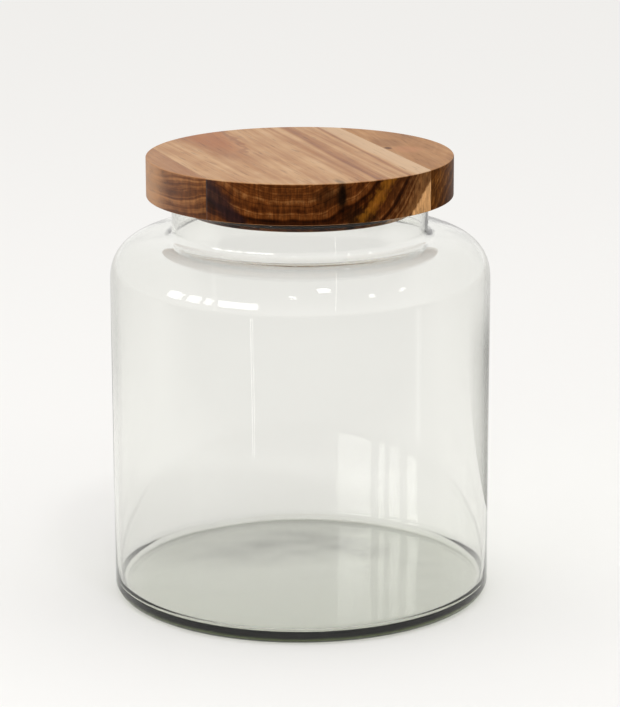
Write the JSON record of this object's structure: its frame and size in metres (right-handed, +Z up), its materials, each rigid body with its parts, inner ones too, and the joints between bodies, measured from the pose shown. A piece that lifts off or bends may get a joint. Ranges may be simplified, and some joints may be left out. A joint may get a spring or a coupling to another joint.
{
  "type": "glass storage jar",
  "caption": "Clear glass storage jar with straight sides, round shoulder and short neck, closed by a turned wooden push-in lid with a silicone seal.",
  "frame": {"origin": "centre of the base, on the surface that the jar stands on", "axes": "+Z up along the jar's axis, +X to the right and -Y towards the viewer; the lid's boards run 20 degrees off the Y axis, from back left to front right"},
  "size_m": [0.21, 0.21, 0.2461],
  "materials": {
    "clear_glass": "clear blown soda-lime glass, faint green in the thick base, fire-polished rim",
    "wood_left": "oiled acacia, fine satin, mid brown with golden streaks",
    "wood_middle": "oiled acacia, fine satin, tan face grain with dark end-grain arcs and a pale sapwood edge",
    "wood_right": "oiled acacia, fine satin, darker brown with curved figure and a small knot",
    "silicone": "smoky translucent satin silicone"
  },
  "bodies": {
    "jar": {"glass_jar": "clear_glass"},
    "seal": {"seal_ring": "silicone"},
    "lid": {"lid_left_stave": "wood_left", "lid_middle_stave": "wood_middle", "lid_right_stave": "wood_right"}
  },
  "joints": [
    {"name": "lid_lift", "type": "slide", "parent": "jar", "child": "seal", "axis": [0, 0, 1], "range_m": [0, 0.1]},
    {"name": "lid_turn", "type": "hinge", "parent": "seal", "child": "lid", "pos_m": [0, 0, 0.2197], "axis": [0, 0, 1], "continuous": true}
  ]
}
